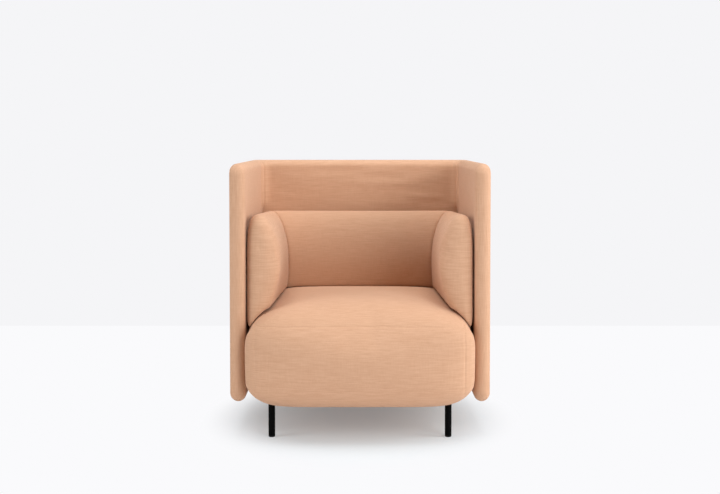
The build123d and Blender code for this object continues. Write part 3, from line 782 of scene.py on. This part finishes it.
def weave_group():
    """Node group Weave: from a position it puts out a tint mask and a thread height."""
    tree = bpy.data.node_groups.new("Weave", "ShaderNodeTree")
    face = tree.interface
    for name in ("Position", "Facing", "Side Scale", "Top Scale", "Cross Scale"):
        face.new_socket(name, in_out="INPUT", socket_type="NodeSocketVector")
    face.new_socket("Thread Scale", in_out="INPUT", socket_type="NodeSocketFloat")
    for name in ("Tint", "Height"):
        face.new_socket(name, in_out="OUTPUT", socket_type="NodeSocketFloat")
    put_in = tree.nodes.new("NodeGroupInput")
    put_out = tree.nodes.new("NodeGroupOutput")
    link = tree.links.new

    def stretched_noise(scale_socket, detail):
        """Noise read at the position times this scale."""
        scaled = group_node(tree, "ShaderNodeVectorMath", operation="MULTIPLY")
        link(put_in.outputs["Position"], scaled.inputs[0])
        link(put_in.outputs[scale_socket], scaled.inputs[1])
        noise = group_node(tree, "ShaderNodeTexNoise", noise_dimensions="3D")
        noise.inputs["Scale"].default_value = 1.0
        noise.inputs["Detail"].default_value = detail
        noise.inputs["Roughness"].default_value = 0.6
        link(scaled.outputs[0], noise.inputs["Vector"])
        return noise.outputs["Fac"]

    def math_node(operation, first, second):
        """A math node fed by sockets or by plain numbers."""
        node = group_node(tree, "ShaderNodeMath", operation=operation)
        for socket, value in zip(node.inputs, (first, second)):
            if isinstance(value, (int, float)):
                socket.default_value = value
            else:
                link(value, socket)
        return node.outputs[0]

    facing = tree.nodes.new("ShaderNodeSeparateXYZ")
    link(put_in.outputs["Facing"], facing.inputs[0])
    level = group_node(tree, "ShaderNodeMapRange", interpolation_type="SMOOTHSTEP")
    level.inputs["From Min"].default_value = LEVEL_FROM
    level.inputs["From Max"].default_value = LEVEL_FULL
    link(math_node("ABSOLUTE", facing.outputs[2], 0), level.inputs["Value"])
    both = group_node(tree, "ShaderNodeMix", data_type="FLOAT")
    link(level.outputs["Result"], both.inputs["Factor"])
    link(stretched_noise("Side Scale", 3.0), both.inputs["A"])
    link(stretched_noise("Top Scale", 3.0), both.inputs["B"])
    slubs = both.outputs["Result"]
    cross = stretched_noise("Cross Scale", 2.0)
    threads = group_node(tree, "ShaderNodeVectorMath", operation="SCALE")
    link(put_in.outputs["Position"], threads.inputs[0])
    link(put_in.outputs["Thread Scale"], threads.inputs["Scale"])
    waves = group_node(tree, "ShaderNodeVectorMath", operation="SINE")
    link(threads.outputs[0], waves.inputs[0])
    parts = tree.nodes.new("ShaderNodeSeparateXYZ")
    link(waves.outputs[0], parts.inputs[0])
    threads_x = math_node("MULTIPLY", parts.outputs[0], parts.outputs[2])
    threads_y = math_node("MULTIPLY", parts.outputs[1], parts.outputs[2])
    crossing = math_node("ADD", threads_x, threads_y)
    along = math_node("MULTIPLY", slubs, SLUB_SHARE)
    mixed = math_node("ADD", along, math_node("MULTIPLY", cross, CROSS_SHARE))
    link(mixed, put_out.inputs["Tint"])
    height = math_node("ADD", mixed, math_node("MULTIPLY", crossing, THREAD_SHARE))
    link(height, put_out.inputs["Height"])
    return tree


weave = weave_group()
print("weave nodes", len(weave.nodes))

# %% [markdown]
# One material function dresses everything in the same peach cloth. Only the direction of the
# slubs differs from piece to piece, so the function takes the axes along which they run. A
# colour ramp turns the weave's mask into a darker and a lighter yarn.

# %% Peach cloth
FABRIC_DARK = (0.542, 0.309, 0.187, 1)
FABRIC_LIGHT = (0.640, 0.390, 0.256, 1)
ALONG = 20.0
ACROSS = 330.0
THREAD_PITCH = 1.7 * MM


def fabric_material(name, on_sides, on_top):
    """Peach cloth. on_sides and on_top say which axes the slubs run along, on upright faces and
    on level ones."""
    material = bpy.data.materials.new(name)
    material.use_nodes = True
    tree = material.node_tree
    shader = tree.nodes["Principled BSDF"]
    place = tree.nodes.new("ShaderNodeTexCoord")
    cloth = group_node(tree, "ShaderNodeGroup", node_tree=weave)

    def stretch(axes):
        """A small scale along these axes and a large one across them."""
        return [ALONG if axis in axes else ACROSS for axis in "XYZ"]

    cloth.inputs["Side Scale"].default_value = stretch(on_sides)
    cloth.inputs["Top Scale"].default_value = stretch(on_top)
    cloth.inputs["Cross Scale"].default_value = stretch("Z" if "Z" not in on_sides else "XY")
    cloth.inputs["Thread Scale"].default_value = 2 * math.pi / THREAD_PITCH
    tree.links.new(place.outputs["Object"], cloth.inputs["Position"])
    tree.links.new(place.outputs["Normal"], cloth.inputs["Facing"])
    ramp = tree.nodes.new("ShaderNodeValToRGB")
    ramp.color_ramp.elements[0].position = 0.30
    ramp.color_ramp.elements[0].color = FABRIC_DARK
    ramp.color_ramp.elements[1].position = 0.70
    ramp.color_ramp.elements[1].color = FABRIC_LIGHT
    tree.links.new(cloth.outputs["Tint"], ramp.inputs["Fac"])
    tree.links.new(ramp.outputs["Color"], shader.inputs["Base Color"])
    bump = tree.nodes.new("ShaderNodeBump")
    bump.inputs["Strength"].default_value = 0.3
    bump.inputs["Distance"].default_value = 0.5 * MM
    tree.links.new(cloth.outputs["Height"], bump.inputs["Height"])
    tree.links.new(bump.outputs["Normal"], shader.inputs["Normal"])
    shader.inputs["Roughness"].default_value = 0.9
    shader.inputs["Specular IOR Level"].default_value = 0.2
    shader.inputs["Sheen Weight"].default_value = 0.15
    shader.inputs["Sheen Roughness"].default_value = 0.5
    shader.inputs["Sheen Tint"].default_value = (1.0, 0.86, 0.76, 1)
    return material


cloth_across = fabric_material("peach_cloth_across", "XY", "X")
cloth_along = fabric_material("peach_cloth_along", "XY", "Y")
cloth_upright = fabric_material("peach_cloth_upright", "Z", "Y")
print("cloths", cloth_across.name, cloth_along.name, cloth_upright.name)

# %% [markdown]
# Each soft piece now gets its cloth and is tied to the body it rides on. The slubs follow the
# way the cloth was cut: across the seat and the back, along the arms, and upright on the
# wings. The shell has two cloths, so its faces are sorted by where they lie.

# %% Dress the soft pieces
def dress(piece, material, body, replaced):
    """Gives a padded piece its cloth, ties it to its body and hides the nodes it stands for."""
    piece.data.materials.clear()
    piece.data.materials.append(material)
    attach(piece, body)
    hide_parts(*replaced)


BODY = "chair"
dress(seat, cloth_across, BODY, ["seat_cover", "seat_foam"])
for side in ("left", "right"):
    dress(arms[side], cloth_along, BODY, [f"{side}_arm_cover", f"{side}_arm_foam"])
back_nodes = ["back_cushion_cover", "back_cushion_foam"]
dress(back_cushion, cloth_across, BODY, back_nodes)
panel_nodes = []
for place in ("left", "right", "back"):
    panel_nodes += [f"{place}_panel_cover", f"{place}_panel_padding"]
dress(shell, cloth_upright, BODY, panel_nodes)
shell.data.materials.append(cloth_across)
centres = np.empty(len(shell.data.polygons) * 3)
shell.data.polygons.foreach_get("center", centres)
seam_inset = CORNER_EASE * (1 - math.cos(math.pi / 4))
on_back = np.abs(centres[0::3]) < SHELL_SIDE - SHELL_HALF - seam_inset
shell.data.polygons.foreach_set("material_index", on_back.astype(np.int32))
print("shell faces", len(on_back), "of them across the back", int(on_back.sum()))


# %% [markdown]
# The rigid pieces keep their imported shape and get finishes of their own: satin black powder
# coat on the legs, moulded plastic on the feet, and plain wood, zinc and webbing inside.

# %% Finishes for the rigid pieces
def speckled_material(name, dark, light, scale, stretch, roughness, metallic=0.0, shine=0.5):
    """Two colours mixed by a noise that may be stretched, with a matching small relief."""
    material = bpy.data.materials.new(name)
    material.use_nodes = True
    tree = material.node_tree
    shader = tree.nodes["Principled BSDF"]
    place = tree.nodes.new("ShaderNodeTexCoord")
    mapping = tree.nodes.new("ShaderNodeMapping")
    mapping.inputs["Scale"].default_value = stretch
    noise = tree.nodes.new("ShaderNodeTexNoise")
    noise.inputs["Scale"].default_value = scale
    noise.inputs["Detail"].default_value = 4
    ramp = tree.nodes.new("ShaderNodeValToRGB")
    ramp.color_ramp.elements[0].position = 0.3
    ramp.color_ramp.elements[0].color = (*dark, 1)
    ramp.color_ramp.elements[1].position = 0.7
    ramp.color_ramp.elements[1].color = (*light, 1)
    bump = tree.nodes.new("ShaderNodeBump")
    bump.inputs["Strength"].default_value = 0.4
    bump.inputs["Distance"].default_value = 0.1 * MM
    link = tree.links.new
    link(place.outputs["Object"], mapping.inputs["Vector"])
    link(mapping.outputs["Vector"], noise.inputs["Vector"])
    link(noise.outputs["Fac"], ramp.inputs["Fac"])
    link(ramp.outputs["Color"], shader.inputs["Base Color"])
    link(noise.outputs["Fac"], bump.inputs["Height"])
    link(bump.outputs["Normal"], shader.inputs["Normal"])
    shader.inputs["Roughness"].default_value = roughness
    shader.inputs["Metallic"].default_value = metallic
    shader.inputs["Specular IOR Level"].default_value = shine
    return material


EVEN = (1, 1, 1)
finishes = {
    "black_steel": speckled_material(
        "black_powder_coat", (0.0015, 0.0015, 0.0016), (0.003, 0.003, 0.0031),
        900, EVEN, 0.6, shine=0.03,
    ),
    "black_plastic": speckled_material(
        "black_moulded_plastic", (0.004, 0.004, 0.004), (0.008, 0.008, 0.008),
        600, EVEN, 0.65, shine=0.08,
    ),
    "beech": speckled_material(
        "planed_beech", (0.42, 0.25, 0.13), (0.60, 0.40, 0.24), 40, (1, 1, 9), 0.55,
    ),
    "plywood": speckled_material(
        "sanded_plywood", (0.44, 0.29, 0.16), (0.62, 0.45, 0.28), 25, (1, 1, 6), 0.6,
    ),
    "webbing": speckled_material(
        "elastic_webbing", (0.02, 0.02, 0.022), (0.06, 0.06, 0.065), 700, EVEN, 0.85,
    ),
    "zinc_steel": speckled_material(
        "zinc_plate", (0.50, 0.50, 0.47), (0.66, 0.66, 0.63), 120, EVEN, 0.35, 1.0,
    ),
    "dust_cloth": speckled_material(
        "black_spun_cloth", (0.010, 0.010, 0.010), (0.030, 0.030, 0.030), 500, EVEN, 0.95,
    ),
}
slot_of_node = {part["node"]: part["material_slot"] for part in frame["record"]["subparts"]}
for node, piece in frame["nodes"].items():
    finish = finishes.get(slot_of_node[node])
    if finish is not None:
        piece.data.materials.clear()
        piece.data.materials.append(finish)
dust_cover.data.materials.append(finishes["dust_cloth"])
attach(dust_cover, BODY)
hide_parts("dust_cover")
print("finished nodes", len(frame["nodes"]))

# %% [markdown]
# The camera stands about three and a half metres in front of the chair, a little above its
# top, and looks almost level. A small downward shift of the picture does the rest, which
# keeps the uprights nearly parallel as in a product photograph.

# %% Camera
IMAGE_WIDTH = 720
IMAGE_HEIGHT = 494
FOCAL_PIXELS = 1087
SENSOR = 36
HORIZON_PIXEL = 138.3
CAMERA_SHIFT = -0.09
CAMERA_PLACE = Vector((0.0, -3.795, 0.977))

camera_data = bpy.data.cameras.new("photo_camera")
camera = bpy.data.objects.new("photo_camera", camera_data)
bpy.context.scene.collection.objects.link(camera)
camera_data.sensor_width = SENSOR
camera_data.lens = SENSOR * FOCAL_PIXELS / IMAGE_WIDTH
camera_data.shift_y = CAMERA_SHIFT
above_centre = IMAGE_HEIGHT / 2 - HORIZON_PIXEL + CAMERA_SHIFT * IMAGE_WIDTH
pitch = math.atan2(above_centre, FOCAL_PIXELS)
camera.location = CAMERA_PLACE
camera.rotation_euler = (math.pi / 2 - pitch, 0, 0)
bpy.context.scene.camera = camera
print("lens", camera_data.lens, "pitch degrees", math.degrees(pitch))

# %% [markdown]
# The floor is pale and plain. To the eye it takes the chair's shadow near the chair and turns
# into an even pale ground further off. Glossy and transmission rays count as the eye too, so
# that metal shows the same ground. All other rays meet a pale paint that throws light back up.

# %% Floor
WALL_Y = 1.84
FLOOR_HALF = 6.0
FLOOR_COLOUR = (0.68, 0.75, 0.785, 1)
FLOOR_BOUNCE = (0.90, 0.90, 0.91, 1)
FLOOR_VIEW = (0.956, 0.956, 0.973, 1)
SHADE_INNER = 0.20
SHADE_NEAR = 0.34
SHADE_FAR = 0.64
SHADE_SHAPE = (1.15, 1.0, 1.0)


def seen_rays(tree):
    """Socket that is 1 for camera, glossy and transmission rays and 0 for all others."""
    rays = tree.nodes.new("ShaderNodeLightPath")
    seen = rays.outputs["Is Camera Ray"]
    for kind in ("Is Glossy Ray", "Is Transmission Ray"):
        either = group_node(tree, "ShaderNodeMath", operation="MAXIMUM")
        tree.links.new(seen, either.inputs[0])
        tree.links.new(rays.outputs[kind], either.inputs[1])
        seen = either.outputs[0]
    return seen


def floor_material():
    """Paint for the shadow and an even glow for the ground, mixed by the distance from the
    chair's middle, and a plain pale paint for the rays that are not seen."""
    material = bpy.data.materials.new("floor_paint")
    material.use_nodes = True
    tree = material.node_tree
    link = tree.links.new
    paint = tree.nodes["Principled BSDF"]
    paint.inputs["Base Color"].default_value = FLOOR_COLOUR
    paint.inputs["Roughness"].default_value = 0.95
    paint.inputs["Specular IOR Level"].default_value = 0.0
    even = tree.nodes.new("ShaderNodeEmission")
    even.inputs["Color"].default_value = FLOOR_VIEW
    bounce = tree.nodes.new("ShaderNodeBsdfDiffuse")
    bounce.inputs["Color"].default_value = FLOOR_BOUNCE
    place = tree.nodes.new("ShaderNodeTexCoord")
    mapping = tree.nodes.new("ShaderNodeMapping")
    mapping.inputs["Scale"].default_value = SHADE_SHAPE
    reach = group_node(tree, "ShaderNodeVectorMath", operation="LENGTH")
    fade = group_node(tree, "ShaderNodeMapRange", interpolation_type="SMOOTHSTEP")
    fade.inputs["From Min"].default_value = SHADE_NEAR
    fade.inputs["From Max"].default_value = SHADE_FAR
    fade.inputs["To Min"].default_value = SHADE_INNER
    fade.inputs["To Max"].default_value = 1.0
    look = tree.nodes.new("ShaderNodeMixShader")
    choose = tree.nodes.new("ShaderNodeMixShader")
    link(place.outputs["Object"], mapping.inputs["Vector"])
    link(mapping.outputs["Vector"], reach.inputs[0])
    link(reach.outputs["Value"], fade.inputs["Value"])
    link(fade.outputs["Result"], look.inputs["Fac"])
    link(paint.outputs[0], look.inputs[1])
    link(even.outputs[0], look.inputs[2])
    link(seen_rays(tree), choose.inputs["Fac"])
    link(bounce.outputs[0], choose.inputs[1])
    link(look.outputs[0], choose.inputs[2])
    link(choose.outputs[0], tree.nodes["Material Output"].inputs["Surface"])
    return material


near_corners = [(-FLOOR_HALF, -FLOOR_HALF, 0), (FLOOR_HALF, -FLOOR_HALF, 0)]
far_corners = [(FLOOR_HALF, WALL_Y, 0), (-FLOOR_HALF, WALL_Y, 0)]
floor = mesh_object("floor", near_corners + far_corners, [(0, 1, 2, 3)])
floor.data.materials.append(floor_material())
print("floor ends at", WALL_Y)

# %% [markdown]
# The wall is the world behind the floor's far edge. To the eye it is a pale grey, and for all
# other rays it is a weak even light from every side.

# %% Wall and even light
WALL_COLOUR = (0.913, 0.913, 0.930, 1)
SKY_STRENGTH = 0.12

world = bpy.data.worlds.new("studio")
bpy.context.scene.world = world
world.use_nodes = True
sky = world.node_tree
sky_light = sky.nodes["Background"]
sky_light.inputs["Color"].default_value = (1, 1, 1, 1)
sky_light.inputs["Strength"].default_value = SKY_STRENGTH
wall_view = sky.nodes.new("ShaderNodeBackground")
wall_view.inputs["Color"].default_value = WALL_COLOUR
wall_view.inputs["Strength"].default_value = 1.0
choose = sky.nodes.new("ShaderNodeMixShader")
sky.links.new(seen_rays(sky), choose.inputs["Fac"])
sky.links.new(sky_light.outputs[0], choose.inputs[1])
sky.links.new(wall_view.outputs[0], choose.inputs[2])
sky.links.new(choose.outputs[0], sky.nodes["World Output"].inputs["Surface"])
print("even light", SKY_STRENGTH)

# %% [markdown]
# Four large soft lamps light the chair: from the right, from the front right, from above and
# from the left. They are kept at a plain level, at which the cloth looks about as its colour
# is written and no pale face burns out.

# %% Lamps
CHAIR_MIDDLE = (0, 0, 0.45)


def soft_box(name, place, size, power):
    """A square area lamp at a place, turned to the chair's middle, with its power in watts."""
    data = bpy.data.lights.new(name, "AREA")
    data.shape = "SQUARE"
    data.size = size
    data.energy = power
    lamp = bpy.data.objects.new(name, data)
    lamp.location = place
    towards = Vector(CHAIR_MIDDLE) - Vector(place)
    lamp.rotation_euler = towards.to_track_quat("-Z", "Y").to_euler()
    bpy.context.scene.collection.objects.link(lamp)


soft_box("side_light", (3.2, -0.7, 1.6), 1.6, 68)
soft_box("front_light", (2.2, -3.2, 1.7), 2.0, 72)
soft_box("top_light", (0.0, -0.1, 3.2), 2.2, 64)
soft_box("left_light", (-3.1, -1.4, 1.6), 1.6, 52)
bpy.context.scene.view_settings.view_transform = "Standard"
print("lamps", len(bpy.data.lights))
